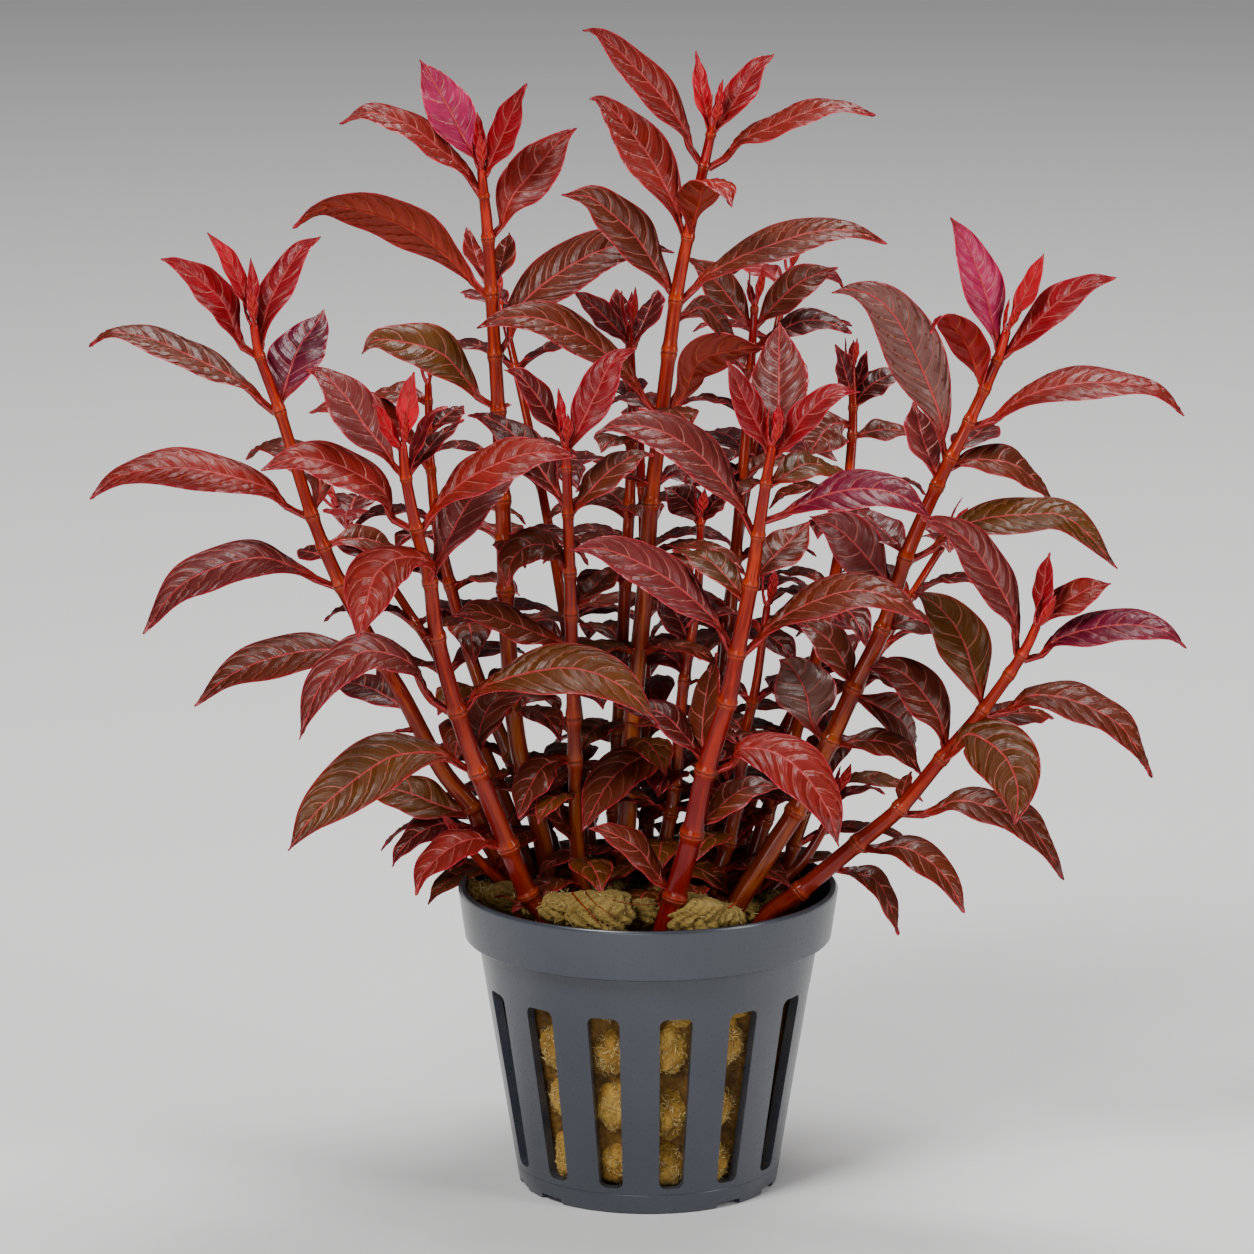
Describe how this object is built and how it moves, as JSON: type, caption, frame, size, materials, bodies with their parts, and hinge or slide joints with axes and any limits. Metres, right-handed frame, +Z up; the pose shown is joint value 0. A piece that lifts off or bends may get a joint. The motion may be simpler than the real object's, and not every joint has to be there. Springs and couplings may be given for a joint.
{
  "type": "potted aquatic plant",
  "caption": "Bushy red ludwigia palustris aquarium plant: leafy stems rising from a mineral wool plug in a small slotted net pot.",
  "frame": {"origin": "centre of the pot's base, on the surface that it stands on", "axes": "+Z up along the pot's axis, -Y towards the viewer of the picture, +X to their right"},
  "size_m": [0.1472, 0.0989, 0.1593],
  "materials": {
    "pot": "satin moulded slate-grey plastic",
    "wool": "damp fuzzy ochre mineral wool",
    "stem": "glossy orange-red stems with their burgundy leaves",
    "leaf": "glossy burgundy leaf with a pink midrib"
  },
  "bodies": {
    "root": {"back_centre_stem": "stem", "back_left_stem": "stem", "back_right_stem": "stem", "centre_left_stem": "stem", "far_right_stem": "stem", "front_leaf_1": "leaf", "front_leaf_11": "leaf", "front_leaf_14": "leaf", "front_leaf_5": "leaf", "front_leaf_6": "leaf", "front_leaf_9": "leaf", "front_left_leaf_11": "leaf", "front_left_leaf_12": "leaf", "front_left_leaf_14": "leaf", "front_left_leaf_3": "leaf", "front_left_leaf_6": "leaf", "front_left_leaf_7": "leaf", "front_left_leaf_8": "leaf", "front_left_stem": "stem", "front_stem": "stem", "inner_centre_stem": "stem", "inner_right_stem": "stem", "left_leaf_12": "leaf", "left_leaf_3": "leaf", "left_leaf_5": "leaf", "left_leaf_7": "leaf", "left_leaf_9": "leaf", "left_stem": "stem", "low_right_leaf_10": "leaf", "low_right_leaf_11": "leaf", "low_right_leaf_4": "leaf", "low_right_leaf_5": "leaf", "low_right_leaf_6": "leaf", "low_right_stem": "stem", "net_pot": "pot", "rear_left_stem": "stem", "rear_low_stem": "stem", "rear_mid_left_stem": "stem", "rear_mid_right_stem": "stem", "rear_mid_stem": "stem", "rear_right_stem": "stem", "rockwool": "wool", "short_left_stem": "stem", "short_right_stem": "stem", "tall_centre_leaf_1": "leaf", "tall_centre_leaf_10": "leaf", "tall_centre_leaf_5": "leaf", "tall_centre_leaf_6": "leaf", "tall_centre_leaf_9": "leaf", "tall_centre_stem": "stem", "tall_left_leaf_10": "leaf", "tall_left_leaf_5": "leaf", "tall_left_leaf_8": "leaf", "tall_left_leaf_9": "leaf", "tall_left_stem": "stem", "tall_right_leaf_10": "leaf", "tall_right_leaf_14": "leaf", "tall_right_leaf_5": "leaf", "tall_right_leaf_6": "leaf", "tall_right_stem": "stem"}
  },
  "joints": []
}
